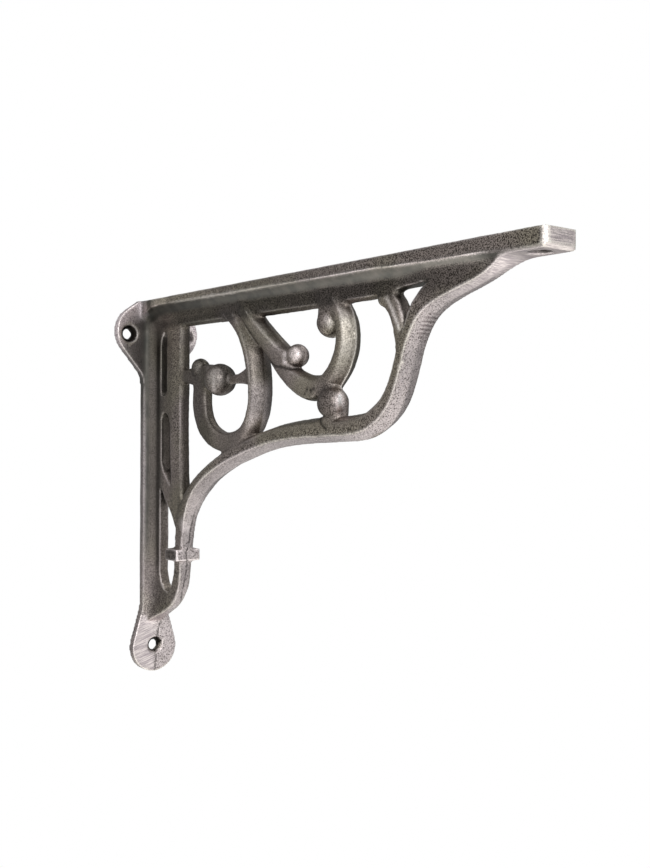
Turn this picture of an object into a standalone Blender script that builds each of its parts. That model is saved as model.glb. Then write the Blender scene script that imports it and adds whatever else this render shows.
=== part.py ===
"""A small cast-iron shelf bracket with scrollwork, modelled as the one casting that it is.

Frame: the wall is the plane X = 0 and the arm runs out along +X, +Z is up, and Y = 0 is the plane
of the web, where the two halves of the mould met. The origin is on the wall face, on the centre
line and level with the two upper screws.
"""

import math

import bmesh
import bpy
from mathutils import Matrix, Vector

MM = 0.001

# Driving sizes
ARM_LENGTH = 254 * MM
TOTAL_HEIGHT = 178 * MM
SCREW_DROP = 16 * MM  # from the shelf face down to the two upper screws
PLATE_THICKNESS = 4 * MM
ARM_HALF_WIDTH = 7.9 * MM
TIP_THICKNESS = 6.7 * MM
LEG_HALF_WIDTH = 6.5 * MM
WEB_HALF = 2.5 * MM

# Screw holes
EAR_HOLE_OFFSET = 14.4 * MM
EAR_OFFSET = 9.6 * MM
EAR_SHIFT = 1.3 * MM  # both ears sit a little to one side of the web, as cast
EAR_DROP = 14.8 * MM
EAR_RADIUS = 12.4 * MM
LUG_RADIUS = 11.7 * MM
HOLE_RADIUS = 2.4 * MM
SINK_RADIUS = 4.3 * MM
SINK_DEPTH = 2.2 * MM
TIP_HOLE_INSET = 9 * MM

# The collar round the foot of the brace
COLLAR_BACK = 24.3 * MM
COLLAR_FRONT = 34.6 * MM
COLLAR_TOP_DROP = 117 * MM
COLLAR_HEIGHT = 5.3 * MM
COLLAR_HALF_WIDTH = 6.4 * MM

# How finely round stretches are cut
ARC_STEPS = 8
STEPS_PER_STATION = 3
BALL_SEGMENTS = 16
BALL_RINGS = 8
HOLE_SEGMENTS = 24

# A roofed side bulges a little between the flat face and the parting ridge
ROOF_MIDDLE = 0.55
ROOF_BULGE = 0.62

# Where the arm's sloped underside breaks, as a share of its half width, and at its flat tip
SLOPE_BREAK = 0.62
TIP_BREAK = 0.88
SLOPE_SAG = 0.45


def height(drop):
    """Z of a point that is `drop` below the shelf face."""
    return SCREW_DROP - drop


def in_metres(*rows):
    """Rows of millimetres as rows of metres."""
    return [tuple(value * MM for value in row) for row in rows]


def make_collection(name):
    collection = bpy.data.collections.new(name)
    bpy.context.scene.collection.children.link(collection)
    return collection


def add_mesh(name, bm, collection):
    """Turn a bmesh into an object, with every face pointing out."""
    bmesh.ops.recalc_face_normals(bm, faces=bm.faces)
    mesh = bpy.data.meshes.new(name)
    bm.to_mesh(mesh)
    bm.free()
    obj = bpy.data.objects.new(name, mesh)
    collection.objects.link(obj)
    obj.hide_render = True
    obj.display_type = "WIRE"
    return obj


def loft(name, rings, collection):
    """Close a row of equal rings of points into one solid."""
    bm = bmesh.new()
    loops = [[bm.verts.new(point) for point in ring] for ring in rings]
    count = len(loops[0])
    for near, far in zip(loops, loops[1:]):
        for i in range(count):
            j = (i + 1) % count
            bm.faces.new((near[i], near[j], far[j], far[i]))
    bm.faces.new(loops[0])
    bm.faces.new(loops[-1])
    bmesh.ops.triangulate(bm, faces=[face for face in bm.faces if len(face.verts) > 4])
    return add_mesh(name, bm, collection)


def through_stations(stations, steps=STEPS_PER_STATION):
    """A smooth Catmull-Rom run through rows of numbers of any length."""
    rows = [Vector(row) for row in stations]
    rows = [2 * rows[0] - rows[1]] + rows + [2 * rows[-1] - rows[-2]]
    run = []
    for a, b, c, d in zip(rows, rows[1:], rows[2:], rows[3:]):
        for step in range(steps):
            t = step / steps
            run.append(
                0.5 * (2 * b + (c - a) * t + (2 * a - 5 * b + 4 * c - d) * t**2
                       + (3 * b - a - 3 * c + d) * t**3)
            )
    run.append(rows[-2])
    return run


def member_ring(middle, side, flat, half_depth, ridge_left, ridge_right):
    """Section of a cast member: two flat faces, and roofed sides that meet at the parting plane."""
    half = flat / 2
    profile = [
        (-half, -half_depth),
        (half, -half_depth),
        (half + ridge_left * ROOF_BULGE, -half_depth * (1 - ROOF_MIDDLE)),
        (half + ridge_left, 0),
        (half + ridge_left * ROOF_BULGE, half_depth * (1 - ROOF_MIDDLE)),
        (half, half_depth),
        (-half, half_depth),
        (-half - ridge_right * ROOF_BULGE, half_depth * (1 - ROOF_MIDDLE)),
        (-half - ridge_right, 0),
        (-half - ridge_right * ROOF_BULGE, -half_depth * (1 - ROOF_MIDDLE)),
    ]
    return [
        Vector((middle.x + side.x * across, depth, middle.y + side.y * across))
        for across, depth in profile
    ]


def member(name, stations, collection, along_edge=False):
    """Sweep a cast member through its stations.

    A station is reach from the wall, drop below the shelf face, width of the flat face, half the
    depth front to back, and how far the parting ridge stands out left and right of the way it
    runs. With along_edge the path is the right-hand edge of the flat face, not its middle.
    """
    run = through_stations(in_metres(*stations))
    path = [Vector((row[0], height(row[1]))) for row in run]
    rings = []
    for i, row in enumerate(run):
        ahead = path[min(i + 1, len(path) - 1)]
        behind = path[max(i - 1, 0)]
        along = (ahead - behind).normalized()
        side = Vector((-along.y, along.x))
        middle = path[i] + side * row[2] / 2 if along_edge else path[i]
        rings.append(member_ring(middle, side, *row[2:6]))
    return loft(name, rings, collection)


def flat_piece(name, outline, half_thickness, placement, collection):
    """A flat outline given a thickness, as a mesh that can be cut or joined."""
    curve = bpy.data.curves.new(name, "CURVE")
    curve.dimensions = "2D"
    curve.fill_mode = "BOTH"
    curve.extrude = half_thickness
    spline = curve.splines.new("POLY")
    spline.points.add(len(outline) - 1)
    for point, (across, up) in zip(spline.points, outline):
        point.co = (across, up, 0, 1)
    spline.use_cyclic_u = True
    guide = bpy.data.objects.new(name + "_curve", curve)
    collection.objects.link(guide)
    graph = bpy.context.evaluated_depsgraph_get()
    mesh = bpy.data.meshes.new_from_object(guide.evaluated_get(graph))
    bpy.data.objects.remove(guide)
    bm = bmesh.new()
    bm.from_mesh(mesh)
    bpy.data.meshes.remove(mesh)
    bmesh.ops.remove_doubles(bm, verts=bm.verts, dist=0.01 * MM)
    bmesh.ops.transform(bm, matrix=placement, verts=bm.verts)
    return add_mesh(name, bm, collection)


# Outlines are drawn in X and Y of a curve, and these stand them in the web or against the wall
IN_WEB = Matrix.Rotation(math.pi / 2, 4, "X")
ON_WALL = Matrix(((0, 0, 1, PLATE_THICKNESS / 2), (1, 0, 0, 0), (0, 1, 0, 0), (0, 0, 0, 1)))


def arc(centre, radius, start, end, steps=ARC_STEPS):
    """Points on an arc, angles in radians."""
    angles = [start + (end - start) * i / steps for i in range(steps + 1)]
    return [(centre[0] + radius * math.cos(a), centre[1] + radius * math.sin(a)) for a in angles]


def tangent_angle(point, centre, radius, turn):
    """Where on a circle the straight edge from a point touches it, on the side `turn` picks."""
    across, up = point[0] - centre[0], point[1] - centre[1]
    return math.atan2(up, across) + turn * math.acos(radius / math.hypot(across, up))


def plate_side(ear_offset):
    """The outline of one side of the back plate, from the shelf face down to the lug's foot."""
    ear = (ear_offset, height(EAR_DROP))
    lug = (0, height(TOTAL_HEIGHT) + LUG_RADIUS)
    top_corner = (8.8 * MM, height(0))
    ear_root = (8.2 * MM, height(34 * MM))
    neck = (7 * MM, height(148.5 * MM))
    ear_start = tangent_angle(top_corner, ear, EAR_RADIUS, -1)
    ear_end = tangent_angle(ear_root, ear, EAR_RADIUS, 1)
    lug_start = tangent_angle(neck, lug, LUG_RADIUS, -1)
    side = [top_corner]
    side += arc(ear, EAR_RADIUS, ear_start, ear_end)
    side += [ear_root, (7.1 * MM, height(36.4 * MM)), (LEG_HALF_WIDTH, height(40 * MM))]
    side += [(LEG_HALF_WIDTH, height(145.5 * MM)), neck]
    side += arc(lug, LUG_RADIUS, lug_start, -math.pi / 2)
    return side


def back_plate(collection):
    """The flat plate on the wall: two ears above, a narrow leg and one lug below."""
    right = plate_side(EAR_OFFSET + EAR_SHIFT)
    left = [(-across, up) for across, up in reversed(plate_side(EAR_OFFSET - EAR_SHIFT)[:-1])]
    return flat_piece("back_plate", right + left, PLATE_THICKNESS / 2, ON_WALL, collection)


def arm(collection):
    """The top arm: a flat shelf face, side bands, a sloped underside and a hanging rib."""
    # Reach, depth of the side band, drop of the rib's lower corner, drop of its ridge, half the
    # rib's thickness, and how far the sloped underside has turned into a flat one
    web = WEB_HALF / MM
    tip = TIP_THICKNESS / MM
    stations = [
        (0, 9.5, 12.4, 14, web, 0), (4, 9.3, 12.4, 14, web, 0), (7, 6.2, 12.4, 14, web, 0),
        (12, 3.8, 12.4, 14, web, 0), (20, 3.1, 12.4, 14.1, web, 0), (70, 3.4, 12.7, 14.4, web, 0),
        (130, 3.7, 13, 14.5, web, 0), (176, 4.1, 12.8, 14.2, web, 0), (183, 4.4, 11.2, 12.2, web, 0),
        (190, 4.6, 11, 11.9, 3.3, 0), (198, 4.7, 10.8, 11.6, 4.5, 0), (206, 4.8, 10.6, 11.4, 4.85, 0),
        (222, 5, 10, 10.6, 4.5, 0), (229, 5.2, 8.8, 9, 4.9, 0.2), (233, 5.4, 7.4, 7.5, 5.4, 0.6),
        (236, 5.6, tip, tip, 5.4, 1), (ARM_LENGTH / MM, 5.6, tip, tip, 5.4, 1),
    ]
    rings = []
    for station in stations:
        reach, band, corner, ridge, rib = [value * MM for value in station[:5]]
        flatness = station[5]
        slope_end = max(min(corner - 2 * MM, band + 4.6 * MM), band + 0.25 * MM)
        slope_middle = band + (slope_end - band) * SLOPE_SAG
        break_at = SLOPE_BREAK + (TIP_BREAK - SLOPE_BREAK) * flatness
        root = rib + 0.5 * MM
        half = [
            (ARM_HALF_WIDTH, 0),
            (ARM_HALF_WIDTH, band),
            (max(ARM_HALF_WIDTH * break_at, root + 0.35 * (ARM_HALF_WIDTH - root)),
             slope_middle + (corner - slope_middle) * flatness),
            (root, slope_end + (corner - slope_end) * flatness),
            (rib, corner),
        ]
        profile = half + [(0, ridge)] + [(-across, drop) for across, drop in reversed(half)]
        rings.append([Vector((reach, across, height(drop))) for across, drop in profile])
    return loft("arm", rings, collection)


def leg_cove(collection):
    """The hollow-curved root where the web grows out of the back plate."""
    rings = []
    for drop, spread in in_metres((8, 0.0), (40, 0.0), (138, 0.0), (149, -1.0)):
        half = [
            (PLATE_THICKNESS - 1 * MM, LEG_HALF_WIDTH - 0.4 * MM + spread),
            (PLATE_THICKNESS, LEG_HALF_WIDTH - 0.4 * MM + spread),
            (PLATE_THICKNESS + 1.2 * MM, 4.6 * MM + spread),
            (PLATE_THICKNESS + 3.6 * MM, 3.3 * MM + spread * 0.6),
            (PLATE_THICKNESS + 7 * MM, WEB_HALF - 0.2 * MM + spread * 0.3),
        ]
        profile = half + [(reach, -across) for reach, across in reversed(half)]
        rings.append([Vector((reach, across, height(drop))) for reach, across in profile])
    return loft("leg_cove", rings, collection)


def leg_web(collection, cutters):
    """The thin web between the back plate and the rib, with its three slots."""
    outline = in_metres(
        (3, 6), (31, 6), (31, 96), (33, 104), (31, 125), (28.5, 133), (25, 139), (19, 144),
        (10, 148), (3, 150),
    )
    web = flat_piece(
        "leg_web", [(reach, height(drop)) for reach, drop in outline], WEB_HALF, IN_WEB, collection
    )
    slots = {
        "upper_slot": [
            (12.9, 44), (12.9, 22), (14, 18), (16.4, 15.4), (18.4, 16.6), (18.6, 20), (18.6, 43),
            (16.8, 45.6), (14.4, 45.6),
        ],
        "middle_slot": [
            (13.4, 77), (13.2, 58), (14, 54.6), (16.5, 53.4), (19.6, 55), (21.3, 59),
            (21.8, 75), (23.2, 88.6), (19.6, 86), (15.6, 81.6),
        ],
        "lower_slot": [
            (12.5, 129), (12.5, 88), (14.6, 91), (17.4, 95.3), (21, 99), (24.4, 103.6),
            (27.4, 109), (28.8, 116), (29, 123), (28, 130), (25, 135), (21, 137.8), (17, 137.4),
            (14, 134),
        ],
    }
    for name, points in slots.items():
        edge = [(reach, height(drop)) for reach, drop in in_metres(*points)]
        cutter = flat_piece(name, edge, 2 * WEB_HALF, IN_WEB, cutters)
        cut = web.modifiers.new(name, "BOOLEAN")
        cut.operation = "DIFFERENCE"
        cut.object = cutter
    return web


def leg_rib(collection):
    """The upright bar in front of the slots."""
    stations = [
        (24.8, 9, 12.4, 2.7, 1.2, 0), (24.8, 18, 12.4, 2.7, 1.2, 0), (24.7, 44, 12.2, 2.7, 1.2, 0),
        (26, 58, 9, 2.7, 1.2, 0), (26.6, 76, 8.6, 2.7, 1.2, 0), (27.4, 90, 8.4, 2.8, 1, 0),
        (29.6, 99, 7.6, 2.8, 0.6, 0),
    ]
    return member("leg_rib", stations, collection)


def brace(collection):
    """The long double curve under the scrolls, from the lug to the tip of the arm."""
    stations = [
        (3, 154.4, 3, 4.6, 0, 0.1), (9, 151.4, 4, 3.6, 0, 0.1), (16, 148.2, 5.5, 2.7, 0, 0.1),
        (22.7, 144.6, 6.5, 2.5, 0.3, 0.1), (27.4, 140.2, 6.5, 2.6, 0.5, 0.1),
        (30.2, 135.3, 6.2, 2.8, 0.6, 0.2), (31.6, 130, 5.6, 3, 0.6, 0.3),
        (32.6, 122, 5.6, 3.2, 0.6, 0.4), (33.8, 114, 6, 3.3, 0.6, 0.5),
        (35, 107, 6.2, 3.4, 0.6, 0.6), (37.6, 99.6, 5.8, 3.9, 0.6, 1.1),
        (42.2, 93, 4.6, 4.6, 0.6, 1.6), (47.6, 88.2, 4, 5.1, 0.8, 2), (54, 83.9, 3.8, 5.3, 1, 2.3),
        (63.4, 79.4, 4, 5.4, 1.2, 2.5), (74, 75.4, 4.2, 5.4, 1.4, 2.5), (86, 71.9, 4.4, 5.4, 1.5, 2.5),
        (98, 68.8, 4.6, 5.3, 1.6, 2.5), (110, 66.6, 4.6, 5.3, 2.2, 2.6),
        (125, 65.3, 4.8, 5.3, 2.5, 2.6), (139, 64.7, 5, 5.3, 2.6, 2.6),
        (151, 64.3, 5, 5.3, 2.4, 2.6), (160, 63.6, 5.2, 5.3, 2.2, 2.7),
        (167, 61.9, 5.4, 5.3, 1.6, 2.7), (173.4, 58.4, 5.4, 5.3, 1.2, 2.5),
        (178.6, 53.4, 4.8, 5.2, 1, 2), (182.2, 47, 4.2, 5.2, 1, 1.6), (184.8, 40.4, 4, 5.2, 1, 1.3),
        (187, 34, 3.8, 5.2, 1, 1.2), (189.8, 28.4, 3.7, 5.2, 1, 1.2), (194, 23, 5.5, 5.3, 0.8, 1.2),
        (200, 19.2, 7.4, 5.2, 0.5, 1.1), (208, 16.4, 7.2, 5, 0.3, 1), (216, 14.2, 6.4, 4.8, 0.2, 0.9),
        (223, 12, 5.6, 4.6, 0.2, 0.7), (228.6, 9.6, 4.6, 5, 0.2, 0.5),
        (233.6, 7.4, 3.6, 6.4, 0.2, 0.2), (239, 6.5, 2.6, 7, 0.1, 0.1),
    ]
    return member("brace", stations, collection, along_edge=True)


def large_scroll(collection):
    """The G-shaped scroll beside the leg, from the arm round to its ball."""
    stations = [
        (67, 9, 5, 3.0, 1, 1), (73, 12.6, 4.4, 3.6, 1, 1), (78.6, 17, 3.6, 4.6, 2.4, 1),
        (83.6, 21.6, 3.2, 5.4, 3.2, 1.2), (87.6, 27.6, 3.4, 5.8, 3.3, 1.4),
        (90, 34, 3.6, 5.8, 3.2, 1.6), (91.4, 41, 2.8, 5.8, 3.2, 1.6),
        (91.7, 48, 2.2, 5.8, 3.2, 1.6), (90.2, 55, 2.6, 5.6, 3, 1.6),
        (86.4, 61, 3.6, 5.1, 3, 1.6), (80.4, 64.9, 5, 4.5, 2.6, 1.5),
        (72.6, 66.9, 6, 3.7, 2.2, 1.2), (64.6, 67, 6.8, 3.2, 1.5, 0.8),
        (56.8, 64.8, 8, 2.8, 0.8, 0.4), (50.2, 60, 9.4, 2.5, 0.3, 0.2), (46.9, 53.4, 10.2, 2.4, 0.2, 0.2),
        (46.2, 46.5, 10.4, 2.4, 0.2, 0.2), (47.6, 40.8, 10.2, 2.6, 0.2, 0.3),
        (51.6, 37.8, 9.6, 3.2, 0.3, 0.6), (56.4, 38.4, 9.4, 4, 0.5, 0.8), (61, 40, 8.6, 4.4, 0.6, 0.8),
    ]
    return member("large_scroll", stations, collection)


def small_scroll(collection):
    """The C-shaped scroll below the long rod, from the rod round to the arm."""
    stations = [
        (100, 28, 3.8, 3.6, 1, 0.6), (106.2, 33.7, 4.2, 4, 1.4, 0.8), (112.3, 38.6, 5.2, 4.1, 1.8, 0.9),
        (119.2, 42.9, 6.2, 4.1, 2.2, 1), (127, 46, 7, 4.1, 2.4, 1), (134.4, 46, 6.2, 4.2, 2.4, 1.4),
        (140.8, 43.2, 4.8, 4.6, 2.2, 2.2), (146, 38, 3.8, 5, 2, 2.8), (149.2, 32, 3.4, 5.1, 2, 3),
        (150, 26, 3.2, 5.1, 2, 3), (148.8, 20.4, 3.2, 5, 2, 3), (145.6, 15, 3.6, 4.4, 1.6, 2.4),
        (141.6, 10, 4, 3.4, 1, 1),
    ]
    return member("small_scroll", stations, collection)


def long_rod(collection):
    """The round rod that runs down from the arm to its own ball."""
    stations = [
        (80, 8, 3.6, 3.2, 2, 2), (85.6, 13.4, 4.4, 4.4, 2.4, 2.4), (91, 18.6, 4.6, 4.6, 2.5, 2.5),
        (97.4, 23.6, 4.6, 4.6, 2.5, 2.5), (104, 28.4, 4.6, 4.6, 2.5, 2.5),
        (110, 31.8, 4.4, 4.4, 2.4, 2.4), (116, 32.8, 3.8, 3.8, 2.2, 2.2),
    ]
    return member("long_rod", stations, collection)


def tip_fork(collection):
    """The branch that leaves the brace and meets the arm, with a small gap beside it."""
    stations = [
        (170.2, 9, 6.6, 2.8, 0.6, 0.6), (174.8, 14, 6.6, 2.9, 0.6, 0.6),
        (179.2, 19.2, 6.4, 3.2, 0.6, 0.6), (182, 25.4, 5.6, 3.8, 0.6, 0.6),
        (183.6, 32, 4.6, 4.4, 0.5, 0.5), (184.4, 39, 3.4, 4.8, 0.4, 0.4),
    ]
    return member("tip_fork", stations, collection)


def small_ties(collection):
    """Short webs of metal that tie the scrolls to their neighbours."""
    ties = {
        "scroll_to_leg_tie": [(29, 36.8, 5, 2.2, 0.8, 0.8), (36, 37.1, 5.4, 2.3, 0.8, 0.8),
                              (44, 37.6, 8, 2.3, 0.8, 0.8)],
        "ball_to_scroll_tie": [(67.6, 40, 3.2, 1.3, 0.4, 0.4), (76, 39.8, 3.4, 1.5, 0.6, 0.6),
                               (82, 39.2, 5.6, 1.9, 0.6, 0.6), (89, 38.6, 11, 2.6, 0.6, 0.6)],
        "scroll_to_brace_tie": [(66, 70, 8, 2.4, 0.6, 0.6), (74, 71, 8, 2.8, 0.6, 0.6),
                                (83, 68.2, 7.4, 2.8, 0.6, 0.6)],
        "ball_to_brace_tie": [(139.5, 52, 5, 2.4, 1, 1), (142.4, 58, 6, 3.7, 1, 1),
                              (145.2, 63, 5, 4.4, 1, 1)],
        "ball_to_arm_tie": [(140.4, 9, 9, 3.4, 0.6, 0.6), (140.3, 14, 8.8, 3.8, 0.6, 0.6),
                            (140.2, 19, 9, 4.2, 0.6, 0.6)],
    }
    return [member(name, stations, collection) for name, stations in ties.items()]


def balls(collection):
    """The four round ends of the scrolls, the cap of the large one and the knob on the fork.

    A row is reach, offset from the web, drop and radius.
    """
    rows = in_metres(
        (62.8, -1.1, 39.8, 7.1), (118.4, 0, 32.2, 4.6), (141, -1.6, 52.8, 6.2), (140.2, 0, 20.6, 5.9),
        (45.6, -0.4, 33.8, 4.3), (172.8, -1.3, 15, 2.8),
    )
    for number, (reach, offset, drop, radius) in enumerate(rows, start=1):
        bm = bmesh.new()
        bmesh.ops.create_uvsphere(bm, u_segments=BALL_SEGMENTS, v_segments=BALL_RINGS, radius=radius)
        lay_down = Matrix.Rotation(math.pi / 2, 4, "X")
        bmesh.ops.transform(bm, matrix=lay_down, verts=bm.verts)
        ball = add_mesh(f"ball_{number}", bm, collection)
        ball.location = (reach, offset, height(drop))


def collar(collection):
    """The square collar cast round the foot of the brace."""
    bm = bmesh.new()
    bmesh.ops.create_cube(bm, size=1)
    size = (COLLAR_FRONT - COLLAR_BACK, 2 * COLLAR_HALF_WIDTH, COLLAR_HEIGHT)
    bmesh.ops.scale(bm, vec=size, verts=bm.verts)
    block = add_mesh("collar", bm, collection)
    middle = (COLLAR_BACK + COLLAR_FRONT) / 2
    block.location = (middle, 0, height(COLLAR_TOP_DROP + COLLAR_HEIGHT / 2))
    return block


def screw_hole(name, place, direction, collection, length=14 * MM):
    """A countersunk hole, entered at `place` and running along `direction`."""
    bm = bmesh.new()
    rings = [
        (-2 * MM, SINK_RADIUS + 0.1 * MM), (0.1 * MM, SINK_RADIUS), (SINK_DEPTH, HOLE_RADIUS),
        (length, HOLE_RADIUS),
    ]
    loops = []
    for depth, radius in rings:
        circle = arc((0, 0), radius, 0, 2 * math.pi, HOLE_SEGMENTS)[:-1]
        loops.append([bm.verts.new((x, y, depth)) for x, y in circle])
    for near, far in zip(loops, loops[1:]):
        for i in range(HOLE_SEGMENTS):
            j = (i + 1) % HOLE_SEGMENTS
            bm.faces.new((near[i], near[j], far[j], far[i]))
    bm.faces.new(loops[0])
    bm.faces.new(loops[-1])
    turn = Vector((0, 0, 1)).rotation_difference(Vector(direction)).to_matrix().to_4x4()
    bmesh.ops.transform(bm, matrix=Matrix.Translation(place) @ turn, verts=bm.verts)
    return add_mesh(name, bm, collection)


def cast_iron():
    """Burnished grey iron."""
    material = bpy.data.materials.new("cast_iron")
    material.use_nodes = True
    shader = material.node_tree.nodes["Principled BSDF"]
    shader.inputs["Base Color"].default_value = (0.16, 0.15, 0.14, 1)
    shader.inputs["Metallic"].default_value = 1
    shader.inputs["Roughness"].default_value = 0.5
    return material


def main():
    for obj in list(bpy.data.objects):
        bpy.data.objects.remove(obj)
    part = make_collection("shelf_bracket")
    shapes = make_collection("shapes_in_the_casting")
    slot_cutters = make_collection("slot_cutters")
    hole_cutters = make_collection("hole_cutters")

    arm(shapes)
    leg_cove(shapes)
    leg_web(shapes, slot_cutters)
    leg_rib(shapes)
    brace(shapes)
    large_scroll(shapes)
    small_scroll(shapes)
    long_rod(shapes)
    tip_fork(shapes)
    small_ties(shapes)
    balls(shapes)
    collar(shapes)

    for number, offset in enumerate((-EAR_HOLE_OFFSET, EAR_HOLE_OFFSET + 2 * EAR_SHIFT), start=1):
        screw_hole(f"ear_hole_{number}", (PLATE_THICKNESS, offset, 0), (-1, 0, 0), hole_cutters)
    lug_centre = height(TOTAL_HEIGHT) + LUG_RADIUS
    lug_hole_place = (PLATE_THICKNESS, 0.3 * MM, lug_centre + 0.7 * MM)
    screw_hole("lug_hole", lug_hole_place, (-1, 0, 0), hole_cutters)
    tip_place = (ARM_LENGTH - TIP_HOLE_INSET, 0, height(TIP_THICKNESS))
    screw_hole("tip_hole", tip_place, (0, 0, 1), hole_cutters)

    bracket = back_plate(part)
    bracket.name = "bracket"
    bracket.hide_render = False
    bracket.display_type = "TEXTURED"
    bracket.data.materials.append(cast_iron())
    join = bracket.modifiers.new("one casting", "BOOLEAN")
    join.operation = "UNION"
    join.operand_type = "COLLECTION"
    join.collection = shapes
    drill = bracket.modifiers.new("screw holes", "BOOLEAN")
    drill.operation = "DIFFERENCE"
    drill.operand_type = "COLLECTION"
    drill.collection = hole_cutters


main()
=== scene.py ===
# %% [markdown]
# # A cast-iron scroll shelf bracket
# The real object is one grey-iron casting: a wall leg, a shelf arm, a brace and two scrolls, poured in
# a sand mould in one go and then ground and wire-brushed by hand. There is nothing to assemble, so this
# lesson makes one dressed copy of the solid and spends its effort on what the foundry left behind:
# soft corners, a sandy skin, a mould seam, ground faces and rubbed edges.
#
# The imported solid has the true sizes and holes and is never moved or changed.

# %% Load the imported solid
import math

import bpy
import numpy as np
from mathutils import Matrix, Vector, noise
from mathutils.bvhtree import BVHTree
from mathutils.kdtree import KDTree


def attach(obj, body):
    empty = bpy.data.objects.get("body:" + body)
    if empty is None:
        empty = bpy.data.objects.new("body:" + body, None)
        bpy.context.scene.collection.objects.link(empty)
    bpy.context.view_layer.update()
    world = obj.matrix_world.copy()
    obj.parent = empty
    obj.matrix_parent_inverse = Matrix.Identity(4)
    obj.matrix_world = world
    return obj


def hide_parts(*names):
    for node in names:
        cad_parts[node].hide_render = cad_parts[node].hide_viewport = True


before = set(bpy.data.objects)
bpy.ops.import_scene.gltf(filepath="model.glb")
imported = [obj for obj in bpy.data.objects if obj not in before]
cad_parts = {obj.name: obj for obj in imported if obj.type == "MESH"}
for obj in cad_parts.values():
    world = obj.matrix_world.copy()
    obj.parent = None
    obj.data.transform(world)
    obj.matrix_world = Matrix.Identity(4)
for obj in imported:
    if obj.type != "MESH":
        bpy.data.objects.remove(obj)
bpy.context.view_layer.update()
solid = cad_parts["bracket"]
print("solid faces:", len(solid.data.polygons))

# %% [markdown]
# Millimetres are easier to think in than metres when every mark is a fraction of one. The mesh maths
# below works in mm, and turns back to metres only when it writes the vertices. Heights are counted as
# in the shop: the drop below the shelf face, which stands 16 mm above the upper wall screws.

# %% Sizes in millimetres
MM = 0.001
SHELF_FACE = 16.0      # height of the shelf face over the upper wall screws
PLATE_FACE = 4.0       # front of the wall plate
ARM_END = 254.0
ARM_HALF = 7.9         # half the width of the arm
TIP_DROP = 6.7         # thickness of the flat tip
VOXEL = 0.55           # spacing of the fine skin
TRIANGLES = 192000     # what the finished skin is thinned to


def drop_of(points):
    """How far below the shelf face each point lies, in mm."""
    return SHELF_FACE - points[:, 2]


# %% [markdown]
# A mould can't hold a knife edge and molten iron can't fill one, so no corner of a casting is sharp.
# A bevel on this much ornament would break where strips meet at odd angles. Remeshing the whole solid
# in small voxels gives an even skin that can be softened, filled and scarred anywhere.

# %% Make the fine skin
skin_mesh = solid.data.copy()
casting = bpy.data.objects.new("iron_casting", skin_mesh)
bpy.context.scene.collection.objects.link(casting)


def apply_modifier(piece, kind, **settings):
    """Adds one modifier, applies it, and leaves none on the piece."""
    modifier = piece.modifiers.new(kind.lower(), kind)
    for name, value in settings.items():
        setattr(modifier, name, value)
    graph = bpy.context.evaluated_depsgraph_get()
    result = bpy.data.meshes.new_from_object(piece.evaluated_get(graph))
    piece.modifiers.clear()
    piece.data = result


apply_modifier(casting, "WELD", merge_threshold=1e-6)
apply_modifier(casting, "REMESH", mode="VOXEL", voxel_size=VOXEL * MM, use_smooth_shade=True)
print("skin after remeshing:", len(casting.data.vertices), "vertices")

# %% [markdown]
# Blender hands a mesh over as one long row of numbers. Four small functions turn it into a table with
# one line for each vertex, so that every mark on the iron is arithmetic on the whole skin at once.


# %% Read and write the skin as tables
def read_points(mesh):
    """The place of each vertex, in mm."""
    points = np.empty(len(mesh.vertices) * 3, np.float32)
    mesh.vertices.foreach_get("co", points)
    return points.reshape(-1, 3).astype(np.float64) / MM


def write_points(mesh, points):
    """Puts each vertex at its place, given in mm."""
    mesh.vertices.foreach_set("co", (points * MM).astype(np.float32).ravel())
    mesh.update()


def read_normals(mesh):
    """The way that the skin faces at each vertex."""
    normals = np.empty(len(mesh.vertices) * 3, np.float32)
    mesh.vertex_normals.foreach_get("vector", normals)
    return normals.reshape(-1, 3).astype(np.float64)


def edge_ends(mesh):
    """The two vertices of each edge."""
    ends = np.empty(len(mesh.edges) * 2, np.int32)
    mesh.edges.foreach_get("vertices", ends)
    return ends.reshape(-1, 2)


ends = edge_ends(casting.data)
count = len(casting.data.vertices)
neighbours = np.bincount(ends.ravel(), minlength=count).astype(float)
print("edges:", len(ends), "neighbours each:", round(float(neighbours.mean()), 2))

# %% [markdown]
# Wear never stops at a sharp line. A mean over the neighbours blurs a value along the skin, and a soft
# step turns any measure into a share from 0 to 1. A place on the casting is then a product of shares.


# %% Small helpers for values on the skin
def neighbour_mean(values):
    """The mean of each vertex's neighbours, for a column or for points."""
    flat = values.reshape(count, -1)
    total = np.empty_like(flat)
    for axis in range(flat.shape[1]):
        total[:, axis] = np.bincount(ends[:, 0], flat[ends[:, 1], axis], count)
        total[:, axis] += np.bincount(ends[:, 1], flat[ends[:, 0], axis], count)
    return (total / neighbours[:, None]).reshape(values.shape)


def spread(values, rounds):
    """Blurs a column of values over the skin."""
    for _ in range(rounds):
        values = neighbour_mean(values)
    return values


def ramp(values, low, high):
    """0 below low, 1 above high, and a soft step between them."""
    t = np.clip((values - low) / (high - low), 0, 1)
    return t * t * (3 - 2 * t)


def inside(values, low, high, soft):
    """1 between low and high, with soft ends."""
    return ramp(values, low - soft, low + soft) * (1 - ramp(values, high - soft, high + soft))


def away_from(line, points):
    """How far each point is from a line through places of reach and drop, seen from the side."""
    flat = np.stack([points[:, 0], drop_of(points)], 1)
    best = np.full(len(points), 1e9)
    for a, b in zip(np.array(line[:-1]), np.array(line[1:])):
        along = b - a
        t = np.clip((flat - a) @ along / (along @ along), 0, 1)
        best = np.minimum(best, np.linalg.norm(flat - (a + t[:, None] * along), axis=1))
    return best


def tell(**shares):
    """Prints the mean of each named column: how much of the skin it covers."""
    print(", ".join(f"{name} {values.mean():.3f}" for name, values in shares.items()))


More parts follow.
